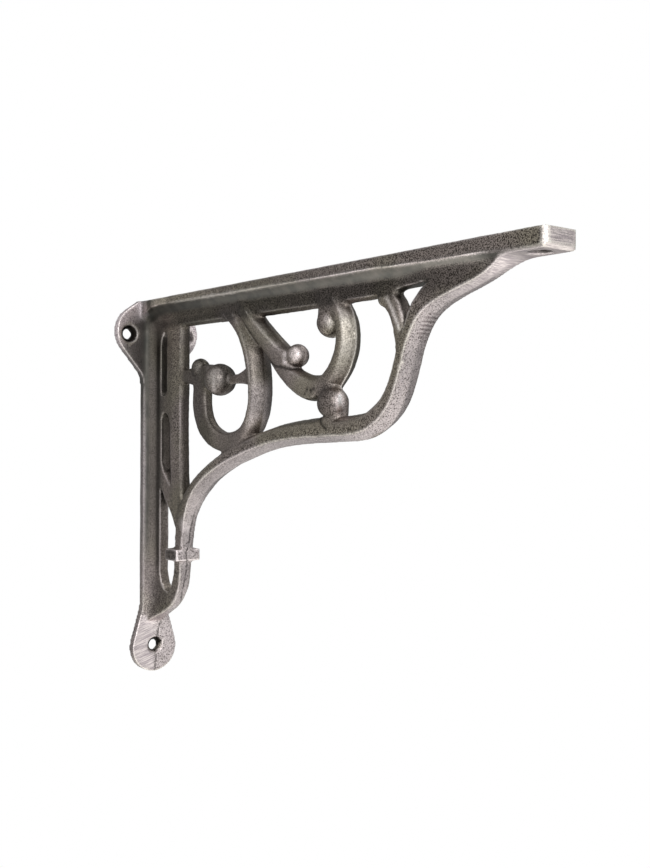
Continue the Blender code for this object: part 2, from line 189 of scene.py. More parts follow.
# %% [markdown]
# The brace is one strip bent in a double curve. Its run is kept as places of reach from the wall and
# drop below the shelf, within 3 mm of its outer edge. What lies between it and the arm is scroll work,
# and five round ends close the rolled strips.

# %% Where the scrolls and their balls are
BRACE_LINE = [
    (3, 154.4), (16, 148.2), (27.4, 140.2), (31.6, 130), (33.8, 114), (37.6, 99.6), (47.6, 88.2),
    (63.4, 79.4), (86, 71.9), (110, 66.6), (139, 64.7), (160, 63.6), (173.4, 58.4), (182.2, 47),
    (187, 34), (194, 23), (208, 16.4), (223, 12), (233.6, 7.4), (254, 6.5)]
BALLS = [      # reach, offset, drop, radius
    (62.8, -1.1, 39.8, 7.1), (118.4, 0.0, 32.2, 4.7), (143.1, -1.6, 51.9, 6.3), (140.2, 0.0, 20.6, 6.0),
    (45.6, -0.4, 33.8, 4.4)]
points = read_points(casting.data)
start_points = points.copy()
drop = drop_of(points)
depth = away_from(BRACE_LINE, points)
in_scrolls = ramp(points[:, 0], 29, 35) * ramp(drop, 13, 16) * ramp(depth, 2.5, 5)
in_scrolls *= 1 - ramp(points[:, 0], 176, 186) * (1 - ramp(depth, 6, 8))
in_scrolls = spread(in_scrolls, 6)
on_balls = np.zeros(count)
for ball_x, ball_y, ball_drop, radius in BALLS:
    away = np.hypot(points[:, 0] - ball_x, drop - ball_drop)
    on_balls = np.maximum(on_balls, 1 - ramp(away, radius, radius + 1.6))
tell(in_scrolls=in_scrolls, on_balls=on_balls)

# %% [markdown]
# The scrolls are rolled forms that the pattern maker sanded round, while the arm, the plate, the collar
# and the tip were planed flat. So the smoothing is not even: the scrolls get many rounds, the planed
# parts only a few. Each round pulls in and then pushes back out, which keeps the thickness. A last few
# rounds only pull, and the skin is then let out by 0.2 mm, about what they took.

# %% Soften the skin
PLANED_ROUNDS, SCROLL_ROUNDS, LAST_ROUNDS = 6, 40, 16
PUSH_BACK = 0.96       # share of each pull that is given back
for lap in range(SCROLL_ROUNDS):
    strength = 0.12 + 0.5 * in_scrolls if lap < PLANED_ROUNDS else 0.5 * in_scrolls
    points += strength[:, None] * (neighbour_mean(points) - points)
    points -= PUSH_BACK * strength[:, None] * (neighbour_mean(points) - points)
for lap in range(LAST_ROUNDS):
    points += 0.5 * in_scrolls[:, None] * (neighbour_mean(points) - points)
write_points(casting.data, points)
points += 0.2 * in_scrolls[:, None] * read_normals(casting.data)
print("mean move in mm:", round(float(np.linalg.norm(points - start_points, axis=1).mean()), 2))

# %% [markdown]
# Inside corners are the other way round: the pattern maker runs wax or leather into them, and the iron
# keeps that fillet. A vertex that sits lower than its neighbours' mean is in a hollow, so it is let out
# along its normal and nothing else moves. Round the balls the corner was cleaned out again with a
# scraper, so there the fillet stays small, and under the foot of the brace it is widest.

# %% Run fillets into the inside corners
FILLET_ROUNDS, FOOT_ROUNDS = 34, 80
wax = 0.55 * (1 - 0.85 * on_balls)
foot = inside(drop, 149, 160, 1.5) * (1 - ramp(points[:, 0], 14, 18))
for lap in range(FOOT_ROUNDS):
    write_points(casting.data, points)
    normals = read_normals(casting.data)
    rise = np.einsum("ij,ij->i", neighbour_mean(points) - points, normals)
    share = wax if lap < FILLET_ROUNDS else 0.9 * foot
    points += (share * np.clip(rise, 0, None))[:, None] * normals
tell(wax=wax, foot=foot)

# %% [markdown]
# The balls were turned on a lathe and let into the pattern afterwards, so they are true spheres that
# swallow the strips that end in them. Skin that lies inside a ball is pressed out to its surface. The
# ball on the brace sits 2 mm further out than its seat, and the middle slot narrows towards the back.

# %% Press the balls out and taper the middle slot
BALL_SEAT = (141.0, -1.6, SHELF_FACE - 52.8)
BALL_SHIFT = (2.1, 0, 0.9)
from_seat = np.linalg.norm(points - np.array(BALL_SEAT), axis=1)
points += (1 - ramp(from_seat, 6.2, 9.5))[:, None] * np.array(BALL_SHIFT)
for ball_x, ball_y, ball_drop, radius in BALLS:
    spoke = points - np.array((ball_x, ball_y, SHELF_FACE - ball_drop))
    reach = np.linalg.norm(spoke, axis=1)
    short = np.clip(radius - reach, 0, 1.6) * ramp(-spoke[:, 1], -3.0, 0.0)
    points += (short / reach)[:, None] * spoke
slot_wall = inside(points[:, 0], 12, 15.2, 0.8) * inside(drop, 55, 84, 2) * (normals[:, 0] > 0.1)
points[:, 0] += 2.0 * slot_wall * ramp(points[:, 1], -1.5, 2.0)
tell(slot_wall=slot_wall)

# %% [markdown]
# A file took the two upright corners of the tip off, and the lower edge of its end. A facet is a plane:
# whatever stands out past it is pressed back on it.

# %% File the facets of the tip
slant = math.sqrt(0.5)
for normal, corner, cut in [
        ((slant, -slant, 0), (ARM_END, -ARM_HALF, 0), 1.05),
        ((slant, slant, 0), (ARM_END, ARM_HALF, 0), 1.05),
        ((0.64, 0, -0.77), (ARM_END, 0, SHELF_FACE - TIP_DROP), 0.95)]:
    past = (points - np.array(corner)) @ np.array(normal) + cut
    points -= np.clip(past, 0, None)[:, None] * np.array(normal)
write_points(casting.data, points)
normals = read_normals(casting.data)
drop = drop_of(points)
depth = away_from(BRACE_LINE, points)
print("furthest move in mm:", round(float(np.linalg.norm(points - start_points, axis=1).max()), 2))

# %% [markdown]
# Two measures of the bare shape drive all the wear later. Edge is how far a vertex stands out from the
# mean of its surroundings, which is where a wire brush bites, and hollow is how far it sinks, where
# dirt and oxide stay. Taking them before any roughness keeps them clean.

# %% Measure edges and hollows
x, y = points[:, 0], points[:, 1]      # these look into points, so they follow its later moves
close_mean = spread(points, 4)
stand = np.einsum("ij,ij->i", points - close_mean, normals)
edge = ramp(stand, 0.08, 0.22)
# crevice is the same sinking at a small scale, in fine inside corners, and later becomes painted shade
crevice = ramp(-stand, 0.05, 0.2)
wide_mean = spread(close_mean, 64)
stand_wide = np.einsum("ij,ij->i", points - wide_mean, normals)
hollow = ramp(-stand_wide, 0.25, 1.5)
side_face = ramp(np.abs(normals[:, 1]), 0.75, 0.95)
tell(edge=edge, crevice=crevice, hollow=hollow, side_face=side_face)

# %% [markdown]
# The proud rounds of the scrolls are rubbed to bright iron, and painted brightest where they look towards
# the light, which comes from the near side and a little more from the front near the tip: partly wear,
# partly painted highlight. The large scroll gets little of it.

# %% Measure the rub and the painted highlights on the scrolls
near_tip = ramp(x, 130, 138)[:, None]
# the way the brush came, which is also the way the light comes for the painted highlights
brush = np.array((0.62, -0.76, 0.15)) * (1 - near_tip) + np.array((0.85, -0.5, 0.15)) * near_tip
to_brush = np.einsum("ij,ij->i", normals, brush)
big_top = np.interp(x, [84, 90, 96, 102], [16, 21.6, 27.1, 32])
on_big = in_scrolls * (1 - ramp(x, 99, 103)) * ramp(drop - big_top, 0, 1.5)
brace_ball = on_balls * (x > 134) * (drop > 44)
heading = np.degrees(np.arctan2(normals[:, 0], -normals[:, 1]))
# rub and painted highlight on the proud rounds that face the light
proud = ramp(to_brush, 0.62, 0.98) * ramp(stand_wide, 0.0, 0.8) * in_scrolls * (1 - 0.8 * side_face)
proud *= 0.8 - 0.6 * on_big
proud = np.maximum(proud, 0.5 * on_balls * in_scrolls * ramp(to_brush, 0.6, 0.97)) * (1 - 0.9 * brace_ball)
# a painted highlight line along one upright corner of the large scroll
big_corner = np.exp(-((heading - 14) / 8) ** 2) * inside(drop, 20, 60, 4) * (x > 78)
proud = np.maximum(proud, 0.65 * on_big * big_corner)
tell(on_big=on_big, brace_ball=brace_ball, proud=proud)

# %% [markdown]
# The outline of the brace, the collar, the lug and the tip was linished: pressed on a running grinding
# belt to take the mould flash off. A belt only reaches faces that look outward with nothing in front of
# them, so a ray along each normal tells which vertices it could touch.

# %% Find the faces that the belt reached
BELT_ROOM = 200.0      # free room in mm that the belt needs in front of a face
skin_tree = BVHTree.FromObject(casting, bpy.context.evaluated_depsgraph_get())
on_brace = (depth < 3.2) & (x > 5)
on_collar = (x > 23.5) & (drop > 116) & (drop < 123.5)
on_lug = (drop > 150.5) & (normals[:, 0] > 0.6)
facing = (np.abs(normals[:, 1]) < 0.62) & ((normals[:, 0] > 0.25) | (normals[:, 2] < -0.45))
facing &= on_brace | on_collar | on_lug | (x > 222)
facing &= (drop > 12.8) | (x > 214)
ground = np.zeros(count)
for i in np.nonzero(facing)[0]:
    start = Vector((points[i] + 0.9 * normals[i]) * MM)
    hit = skin_tree.ray_cast(start, Vector(normals[i]), BELT_ROOM * MM)[0]
    ground[i] = 1.0 if hit is None else 0.0
ground[(x > ARM_END - 3) & (normals[:, 0] > 0.3)] = 1.0
ground = spread(ground, 3)
tell(ground=ground)

# %% [markdown]
# A brush or a thumb rubs what it can reach. Slot walls and the corners behind the scrolls keep their
# dark skin, so a fan of short rays from each vertex counts how much of its surroundings is open. Every
# third vertex is enough, and a blur fills in the rest.


# %% Measure how open each place is
def fan(rays):
    """Directions spread over the half sphere round +Z, most of them near its pole."""
    steps = np.arange(rays)
    lift = np.sqrt(1 - (steps + 0.5) / rays * 0.94)
    swing = steps * 2.39996
    flat = np.sqrt(1 - lift * lift)
    return np.stack([flat * np.cos(swing), flat * np.sin(swing), lift], 1)


FINGER = 22.0          # how far in front of a face a finger needs room, in mm
RAYS = 12
tangent = np.cross(normals, np.where(np.abs(normals[:, 2:3]) < 0.9, (0, 0, 1), (1, 0, 0)))
tangent /= np.linalg.norm(tangent, axis=1)[:, None]
second = np.cross(normals, tangent)
solid_tree = BVHTree.FromObject(solid, bpy.context.evaluated_depsgraph_get())
sample = np.arange(0, count, 3)
starts = [Vector(v) for v in (points[sample] + 1.4 * normals[sample]) * MM]
open_share = np.zeros(count)
for spoke in fan(RAYS):
    rays = spoke[0] * tangent[sample] + spoke[1] * second[sample] + spoke[2] * normals[sample]
    free = [solid_tree.ray_cast(start, Vector(ray), FINGER * MM)[0] is None
            for start, ray in zip(starts, rays)]
    open_share[sample] += np.array(free, float) / RAYS
known = np.zeros(count)
known[sample] = 1
open_share = spread(open_share, 8) / np.maximum(spread(known, 8), 1e-6)
tell(open_share=open_share)

# %% [markdown]
# The skin is not equally sandy. The mould was rammed fine against the planed pattern, so the slopes
# under the arm, the wall plate and the upper ears came out satin, while the side faces, the scrolls and
# the foot are coarse. Under the tip and on one half of the lug the belt cut right through the sand.

# %% Mark the satin places
flat_on = 1 - ramp(np.abs(normals[:, 1]), 0.84, 0.94)
plate = 1 - ramp(x, PLATE_FACE + 1.0, PLATE_FACE + 3.0)
slope = (1 - ramp(drop, 12.0, 14.5)) * (1 - ramp(x, 222, 230)) * flat_on * (1 - plate)
satin = spread(np.maximum.reduce([
    slope,
    plate * (1 - ramp(drop, 104, 140)),
    0.5 * (1 - ramp(x, 14.0, 16.0)) * (1 - ramp(drop, 90, 130)),         # the leg beside the plate
    ramp(x, 200, 212) * ramp(-normals[:, 2], 0.3, 0.6),                  # under the tip
    ground * ramp(drop, 150, 153) * (1 - ramp(y, -1.5, 1.5)),            # near half of the lug
    0.45 * ground * inside(x, 42, 150, 8),                               # under the brace
    0.7 * (x > ARM_END - 2)]), 6)
tell(plate=plate, slope=slope, satin=satin)

# %% [markdown]
# The single marks that make this bracket itself: a cluster of blow holes low on the small scroll, chips
# and a rubbed patch on the brace's foot, two touches of the grinder. Five flat bright marks on the wall
# side of the first two balls are painted highlights. Each is a place seen from the side, a radius, how
# deep it goes and how bright it was left, where less than 0 is dark.

# %% Place the single marks
MARKS = [      # reach, drop, radius, depth, shine
    (129.5, 46.4, 0.8, 0.40, -0.9), (132.1, 46.9, 0.9, 0.45, -1.0), (134.0, 46.2, 0.7, 0.35, -0.9),
    (128.2, 48.0, 0.6, 0.30, -0.8), (136.5, 47.8, 0.7, 0.30, -0.8), (131.0, 49.3, 0.6, 0.25, -0.7),
    (73.4, 81.4, 1.1, 0.45, -0.9), (165.0, 58.5, 0.6, 0.25, -0.7), (189.0, 19.5, 0.6, 0.20, -0.6),
    (34.8, 130.7, 0.9, 0.20, 1.0), (35.3, 133.0, 0.8, 0.15, 0.9), (35.7, 135.2, 0.9, 0.20, 1.0),
    (34.5, 104.5, 1.7, 0.10, 0.8), (35.1, 107.4, 1.6, 0.10, 0.8), (57.5, 35.5, 1.6, 0.00, 0.7),
    (57.8, 39.5, 1.8, 0.00, 0.7), (59.8, 43.2, 1.7, 0.00, 0.7), (114.8, 31.8, 1.0, 0.00, 0.9),
    (114.2, 34.6, 1.0, 0.00, 0.9)]
mark_depth = np.zeros(count)
# how bright each mark is; on the first two balls this is painted highlight
mark_shine = np.zeros(count)
near_side = ramp(-normals[:, 1], -0.2, 0.2)
for mark_x, mark_drop, radius, deep, shine in MARKS:
    bell = np.exp(-(np.hypot(x - mark_x, drop - mark_drop) / radius) ** 2) * near_side
    mark_depth += deep * bell
    mark_shine += shine * bell
print("marks:", len(MARKS), "deepest in mm:", round(float(mark_depth.max()), 2))

# %% [markdown]
# Where one form was laid against another the pattern shows a scraped crease, and where the two halves
# of the mould met the iron stands up in a fine ridge. The ridge was left alone on the small scroll. The
# grinding wheel also chattered: it left a row of short dark stripes where the brace bends to the tip,
# and fainter ones on the front of the large scroll.

# %% Scrape the creases, raise the parting ridge and mark the chatter
CREASES = [
    [(134.6, 49.0), (134.8, 53.6), (137.0, 56.8), (139.8, 59.9), (142.9, 62.2)],
    [(84.2, 16.1), (90.1, 21.6), (95.6, 27.1), (101.6, 31.9), (107.2, 36.0), (112.2, 36.7), (117.5, 37.4),
     (122.7, 36.8)]]
RIDGE_Y = 0.2
crease = np.zeros(count)
for line in CREASES:
    crease = np.maximum(crease, np.exp(-(away_from(line, points) / 0.6) ** 2))
crease *= ramp(-normals[:, 1], 0.15, 0.45) * ramp(-y, -0.5, 0.5)
ridge = (1 - ramp(np.abs(y - RIDGE_Y), 0.25, 0.75)) * ramp(normals[:, 0], 0.1, 0.4)
ridge *= inside(x, 139, 160, 2) * inside(drop, 14, 48, 3) * in_scrolls
chatter = np.exp(-(np.hypot(x - 194.0, drop - 26.0) / 6.0) ** 4) * ramp(y, -3.0, -1.0) * ground
chatter = np.maximum(chatter, 0.3 * np.exp(-(np.hypot(x - 95.0, drop - 44.0) / 6.5) ** 4) * in_scrolls)
chatter *= ramp(normals[:, 0], 0.3, 0.6)
tell(crease=crease, ridge=ridge, chatter=chatter)

# %% [markdown]
# Screw holes were drilled after the brushing, and their countersinks are painted dark as painted shade.
# The drill left a thin bright rim. The hole in the far ear catches the light, so it is less dark.

# %% Paint shade into the countersinks
WALL_HOLES = [(-14.4, 16.0, 1.0), (17.0, 16.0, 0.3), (0.3, 162.7, 1.0)]      # offset, drop, darkness
TIP_HOLE_X = ARM_END - 9
# painted shade inside the countersinks
in_hole = np.zeros(count)
rim = np.zeros(count)
sunk = 1 - ramp(x, PLATE_FACE - 0.5, PLATE_FACE - 0.05)
for hole_y, hole_drop, dark in WALL_HOLES:
    ring = np.hypot(y - hole_y, drop - hole_drop)
    in_hole = np.maximum(in_hole, dark * (1 - ramp(ring, 3.9, 4.4)) * sunk)
    on_face = (x > PLATE_FACE - 0.6) * (x < PLATE_FACE + 0.8)
    rim = np.maximum(rim, np.exp(-((ring - 4.6) / 0.35) ** 2) * on_face)
ring = np.hypot(y, x - TIP_HOLE_X)
in_hole = np.maximum(in_hole, 0.8 * (1 - ramp(ring, 3.9, 4.4)) * inside(drop, 0.8, TIP_DROP - 0.3, 0.2))
tell(in_hole=in_hole, rim=rim)

# %% [markdown]
# Sand leaves three sizes of roughness. Slow waves of about 9 mm come from the hand-packed mould, lumps
# of about 2 mm from the coarse sand, and grit of about 1 mm is as fine as this skin can hold. The rest
# is left to the material.


# %% Add the sand's roughness
def noise_field(points, size, seed):
    """Smooth noise from -1 to 1 with lumps of the given size in mm."""
    shift = Vector((seed * 17.3, seed * 5.1, seed * 9.7))
    return np.array([noise.noise(Vector(p) / size + shift) for p in points])


WAVES, LUMPS, GRIT = 9.0, 2.1, 1.15      # sizes in mm
waves = noise_field(points, WAVES, 1)
lumps = noise_field(points, LUMPS, 2)
grit = noise_field(points, GRIT, 3)
rough = (1 - 0.5 * ground) * (1 - 0.75 * satin)
relief = 0.10 * waves + rough * (0.08 * lumps + 0.06 * grit) - mark_depth - 0.5 * crease + 0.22 * ridge
points += relief[:, None] * normals
print("relief in mm:", round(float(relief.min()), 2), "to", round(float(relief.max()), 2))

# %% [markdown]
# The two halves of a mould never close quite true. The belt took the flash off, and the joint still
# shows as a thin broken crack that strays along the lower brace, the collar and the lug. The two rows
# say how far it is off the middle at each drop.

# %% Cut the mould seam into the ground faces
SEAM_DROP = [0, 101, 108, 115, 116.7, 118, 121.7, 124, 131, 137, 150.4, 154.6, 158.4, 169, 172.8, 177.5]
SEAM_Y = [0, 1.0, 0.9, 0.4, -0.2, -1.3, -0.7, 0.5, -0.1, -0.5, 4.5, 2.9, 1.8, 1.05, 0.8, 0.0]
wander = np.interp(drop, SEAM_DROP, SEAM_Y) + 0.3 * lumps
seam = (1 - ramp(np.abs(y - wander), 0.1, 0.6)) * ramp(normals[:, 0], 0.2, 0.6)
seam *= ramp(drop, 96, 104)
seam *= np.where(x > PLATE_FACE + 1.5, ground, ramp(drop, 150, 153))
seam *= 0.85 * ramp(grit + 0.35 * lumps, -0.65, 0.05)
points -= (0.3 * seam)[:, None] * normals
write_points(casting.data, points)
tell(seam=seam)

# %% [markdown]
# Now the marks are gathered into what the material needs. Rub comes first: bright iron on the edges, and
# rub with painted highlight on the proud places of the scrolls and in a broken line along the lower edge
# of the band of the arm. The leg's web, the ears and the start of the arm were brushed less than the rest.

# %% Gather the rub and the painted highlights on edges and high places
BAND_X = [0, 7, 12, 20, 70, 130, 176, 190, 206, 222, 236, 240]
BAND_DROP = [9.5, 6.2, 3.8, 3.1, 3.4, 3.7, 4.1, 4.6, 4.8, 5.0, 5.6, 6.0]
in_web = inside(x, 9, 24, 1) * inside(drop, 18, 88, 3) * (np.abs(y) < 4)
ears = plate * (1 - ramp(drop, 38, 46))
arm_start = inside(x, 4.6, 8.7, 0.5) * (1 - ramp(drop, 10, 13)) * ramp(np.abs(y), 6, 7)
edge *= (0.65 + 0.35 * ramp(x, 28, 34)) * (1 - 0.6 * in_web) * (1 - 0.4 * ears) * (1 - 0.7 * arm_start)
edge *= 1 - 0.7 * inside(x, 180, 188, 1) * inside(drop, 16, 30, 2) * in_scrolls
# rub and painted highlight in a broken line along the lower edge of the band of the arm
band_edge = np.exp(-((drop - np.interp(x, BAND_X, BAND_DROP)) / 0.45) ** 2) * ramp(np.abs(y), 6.9, 7.5)
band_edge *= ramp(x, 8, 60) * (0.7 + 0.5 * grit) * (1 - 0.7 * ramp(x, 70, 140))
patches = 0.75 + 0.25 * np.clip(2 * noise_field(points, 7.0, 4), -1, 1)
# rub with painted highlight: worn edges, and the proud rounds that face the light
rub = np.maximum(edge * ramp(open_share, 0.3, 0.7), proud * patches * ramp(open_share, 0.35, 0.85))
tell(edge=edge, band_edge=band_edge, rub=rub)

# %% [markdown]
# A few places get painted light of their own. The fork has one painted highlight line, and the two large
# balls carry a painted highlight crescent on one flank and painted shade on the other.


# %% Paint the highlights on the fork and the balls, and the shade on the balls
def to_the_right(ball):
    """How far each point lies to the right of a ball's middle, seen from the near side, in mm."""
    return 0.62 * (x - ball[0]) + 0.785 * (y - ball[1])


FORK_LINE = [(175.5, 14.5), (179.4, 19.9), (183.5, 26.5)]
# a painted highlight line on the fork
fork_shine = np.exp(-(away_from(FORK_LINE, points) / 0.8) ** 2) * ramp(-normals[:, 1], 0.3, 0.7) * (y < -1)
rub = np.maximum.reduce([rub, ridge, 0.7 * rim, band_edge, 0.9 * fork_shine])
rub = np.clip(rub + np.clip(mark_shine, 0, 1), 0, 1)
FIRST_BALL, BRACE_BALL = BALLS[0], BALLS[2]
first_ball = on_balls * (x < 75) * (x > 54)
right_of_first, right_of_brace_ball = to_the_right(FIRST_BALL), to_the_right(BRACE_BALL)
# painted highlight crescents on the two large balls
rub = np.maximum.reduce([
    rub,
    0.8 * first_ball * np.exp(-((right_of_first + 2.4) / 1.1) ** 2) * inside(drop, 36, 45, 2),
    brace_ball * np.exp(-((right_of_brace_ball - 2.4) / 1.6) ** 2) * inside(drop, 48, 55, 2)])
# painted shade on the other flank of the two large balls
ball_dark = 0.45 * np.maximum(
    first_ball * ramp(right_of_first, 0, 3), brace_ball * (1 - ramp(right_of_brace_ball, -1.5, 1)))
tell(fork_shine=fork_shine, rub=rub)

# %% [markdown]
# Dirt is what stays black: oxide and burnt sand in the hollows, where little room is open, and on faces
# that no brush came to. Painted shade goes into the same column: on the rib under the arm and under
# the rib, in the groove beside the plate, at the root of the arm, with the oxide on the slot walls, on the
# far sides of the scrolls, beyond the parting ridge and on the far side of the large scroll and the balls.
# The front of the leg's rib is made darker. Each row is one place, and the darkest row counts. Fine
# crevices with their painted shade, the seam, the painted shade in the holes and the creases come on top,
# because they are sharper than the blur.

# %% Gather the dirt and the painted shade
hollow *= 0.7 - 0.35 * in_scrolls - 0.45 * ears
closed = ramp(0.80 - open_share, 0.0, 0.34) * (0.9 - 0.5 * in_scrolls) * (1 - 0.6 * plate) * (1 - 0.5 * slope)
closed *= 1 - 0.6 * ears
# painted shade on the rib under the arm, darkest at its top
root = 1.5 * (1 - ramp(x, 35, 50))
rib_face = (0.7 - 0.35 * ramp(x, 165, 215)) * side_face * (np.abs(y) < 6.2) * (1 - ramp(drop + root, 13.2, 17))
# painted shade under the rib
rib_under = ramp(-normals[:, 2], 0.5, 0.8) * inside(drop, 13.5, 18.5, 1) * (1 - in_scrolls)
# painted shade in the groove beside the plate
groove = inside(x, 9.4, 12.6, 0.6) * inside(drop, 17, 130, 8) * ramp(np.abs(normals[:, 1]), 0.2, 0.5)
leg_front = inside(x, 23, 34, 2) * inside(drop, 14, 92, 4) * ramp(normals[:, 0], 0.3, 0.7)
# painted shade in the corner at the root of the arm
arm_root = inside(x, 9.0, 12.6, 0.5) * ramp(np.abs(y), 5.8, 6.8) * (1 - ramp(drop, 8.5, 9.5))
# oxide and painted shade on the walls of the slots
slot_walls = in_web * ramp(y, -2.0, -1.0) * (1 - ramp(np.abs(normals[:, 1]), 0.6, 0.8))
# painted shade on the far sides of the scrolls
scroll_backs = in_scrolls * ramp(normals[:, 1], 0.25, 0.6)
# painted shade beyond the parting ridge
beside_ridge = in_scrolls * inside(x, 139, 160, 2) * inside(drop, 14, 48, 3) * ramp(y, 0.8, 1.4)
# painted shade on the far side of the large scroll
big_far_edge = on_big * inside(x, 84, 100, 3) * inside(drop, 20, 42, 4) * ramp(y, -4, -2)
# dirt and painted shade together; the darkest row counts
dirt = np.maximum.reduce([
    hollow,
    closed,
    rib_face * inside(x, 14, 224, 3),
    0.45 * rib_under * inside(x, 40, 190, 5),
    (0.9 - 0.15 * ramp(drop, 45, 70)) * groove,
    0.6 * leg_front,
    0.6 * arm_root,
    0.85 * slot_walls,
    0.3 * in_web * (1 - ramp(drop, 56, 66)) * side_face,                       # between the slots
    0.35 * inside(drop, 132, 151, 4) * inside(x, 6, 20, 2) * side_face,        # low on the leg
    0.5 * scroll_backs,
    0.45 * beside_ridge,
    0.5 * big_far_edge,
    ball_dark])
dirt = np.maximum(spread(dirt, 2) * (1 - 0.6 * ridge), 0.8 * crevice * (1 - foot))
dirt = np.maximum.reduce([dirt, seam, in_hole, 0.85 * crease, np.clip(-mark_shine, 0, 1)])
tell(closed=closed, dirt=dirt)

# %% [markdown]
# Pale is the thin lilac bloom that the brush left on the ears and the foot, where the oxide is thin.
# Coarse says how strongly the sand's speckle shows, as the brush flattened it more on the planed parts.

# %% Gather the pale bloom and the coarse places
off_middle = np.abs(y - 1.3)           # the ears sit 1.3 mm off the middle
ear_rim = ramp(off_middle, 7.5, 11)
facing_out = ramp(normals[:, 0], 0.1, 0.5)
pale = np.maximum.reduce([
    ears * ramp(np.hypot(off_middle - 6.3, 0.8 * (drop - 24)), 8, 17) * ear_rim,
    0.25 * ears * ear_rim,
    0.3 * arm_start,
    0.5 * on_big * inside(drop, 42, 60, 4) * inside(x, 82, 100, 2) * ramp(normals[:, 0], 0.3, 0.6),
    0.22 * ramp(drop, 100, 150) * (1 - ramp(x, 4.5, 14)) * (drop < 152),
    0.3 * plate * ramp(drop, 40, 70) * ramp(np.abs(y), 5.0, 6.4)])
coarse = np.maximum(0.55 + 0.25 * on_balls, (1 - in_scrolls) * ramp(x, 8, 30))
coarse = np.maximum(coarse, ramp(drop, 120, 150))
tell(pale=pale, coarse=coarse)

# %% [markdown]
# Shade is how light or dark a whole stretch was left, as the brush and the belt went over some more
# often than over others. Some rows are painted light instead: painted light and shade on the slope under
# the arm, and painted highlights on the fork and on the brace's ball. Each row is a place and a level,
# where 1 leaves it as it is.

# %% Gather the shade of each stretch, painted light among it
# painted light and shade on the slope under the arm: lighter towards the tip, darker low down
slope_level = (1.0 + 0.0105 * x) * (1 - 0.5 * ramp(drop, 4, 11))
unrubbed_slope = slope * ramp(-normals[:, 2], 0.05, 0.3) * (1 - np.maximum(ground, rub))
shade = np.ones(count)
for where, level in [
        (ground * inside(x, 198, 224, 5), 0.92),                                 # belt, before the tip
        (ground * ramp(x, 222, 230), 1.3),                                       # belt, under the tip
        (ground * inside(x, 46, 150, 6), 0.74),                                  # belt, long bend
        (ground * inside(drop, 74, 100, 6) * (1 - ramp(x, 50, 62)), 0.92),       # belt, lower bend
        (ground * inside(drop, 100, 150, 4), 0.84),                              # belt, foot
        (on_lug * 1.0, 1.35),
        (on_collar * 1.0, 1.35 - 0.8 * side_face),
        # painted light and shade on the slope under the arm
        (unrubbed_slope, slope_level),
        (arm_start, 0.85),
        (inside(x, 12.5, 26, 1.5) * (drop < 11), 1.4),                           # arm, at the leg
        (ears * (1 - ramp(off_middle, 9, 14)) * (drop < 14), 0.7),               # ears, beside the arm
        (ears * ramp(off_middle, 12, 16), 1.2),                                  # ears, outer rim
        (on_big * facing_out * (1 - ramp(drop, 52, 60)) * ramp(x, 62, 70), 0.75),
        (on_big * np.exp(-((x - 95) / 5) ** 2 - ((drop - 61) / 5) ** 2), 1.8),   # large scroll, where it
        (on_big * np.exp(-((x - 95) / 4) ** 2 - ((drop - 29) / 5) ** 2), 1.8),   # catches the window
        # painted highlight on the fork
        (fork_shine, 1.35),
        (side_face * (drop < 10) * (1 - ramp(x, 50, 80)), 1.35),                 # band, at the wall
        (in_scrolls * (1 - ramp(x, 54, 62)), 0.54),                              # curl of the large scroll
        # painted highlight on the right flank of the brace's ball
        (brace_ball * ramp(right_of_brace_ball, 0.5, 2.0), 1.5),
        (on_balls * (x < 80), 0.7),                                              # first ball and the cap
        (in_scrolls * inside(x, 74, 100, 4) * facing_out * (drop < 62), 0.85),   # large scroll, front
        (in_scrolls * inside(x, 116, 139, 2) * inside(drop, 38, 50, 2) * side_face, 1.2),
        (side_face * inside(depth, 0, 12, 2) * inside(x, 120, 185, 8), 1.15),    # side of the brace
        (side_face * ramp(x, 188, 200) * ramp(drop, 8, 11), 0.82),               # rib, at the tip
        # painted highlight inside the fork
        (np.exp(-(np.hypot(x - 181.5, drop - 24) / 6.5) ** 2) * facing_out, 1.3),    # inside the fork
        (on_balls * inside(x, 112, 125, 1), 1.25)]:                              # second ball
    shade *= 1 + (level - 1) * where
print("shade from", round(float(shade.min()), 2), "to", round(float(shade.max()), 2))

# %% [markdown]
# The voxel skin has more triangles than flat faces need. Collapsing it thins the flats first and keeps
# the corners, and the wear values are carried over from the nearest vertex of the full skin.

# %% Thin the skin
carried = {
    "rub": rub, "dirt": dirt, "pale": pale, "shade": shade, "ground": ground, "satin": satin,
    "chatter": chatter, "coarse": coarse, "pitted": np.maximum(on_collar, on_lug * ramp(y, 0.0, 2.0)),
    "upright": inside(drop, 22, 60, 3) * ramp(x, 168, 176) * ground}
triangles = sum(len(p.vertices) - 2 for p in casting.data.polygons)
apply_modifier(casting, "DECIMATE", ratio=min(1.0, TRIANGLES / triangles), use_collapse_triangulate=True)
casting.data.name = "iron_casting"
casting.data.polygons.foreach_set("use_smooth", [True] * len(casting.data.polygons))
lookup = KDTree(count)
for i, p in enumerate(points):
    lookup.insert(p, i)
lookup.balance()
nearest = np.array([lookup.find(p)[1] for p in read_points(casting.data)])
for name, values in carried.items():
    layer = casting.data.attributes.new(name, "FLOAT", "POINT")
    layer.data.foreach_set("value", values[nearest].astype(np.float32))
print("skin after thinning:", len(casting.data.polygons), "triangles")

# %% [markdown]
# Colours are picked as sRGB hex values, as a paint chart gives them, and the shader wants linear light.
# One function does that for every colour in the file, and one more adds a node, so that the material
# below reads as a list of what each step does. A Mix node takes its inputs by number, because those for
# numbers and those for colours share their names.


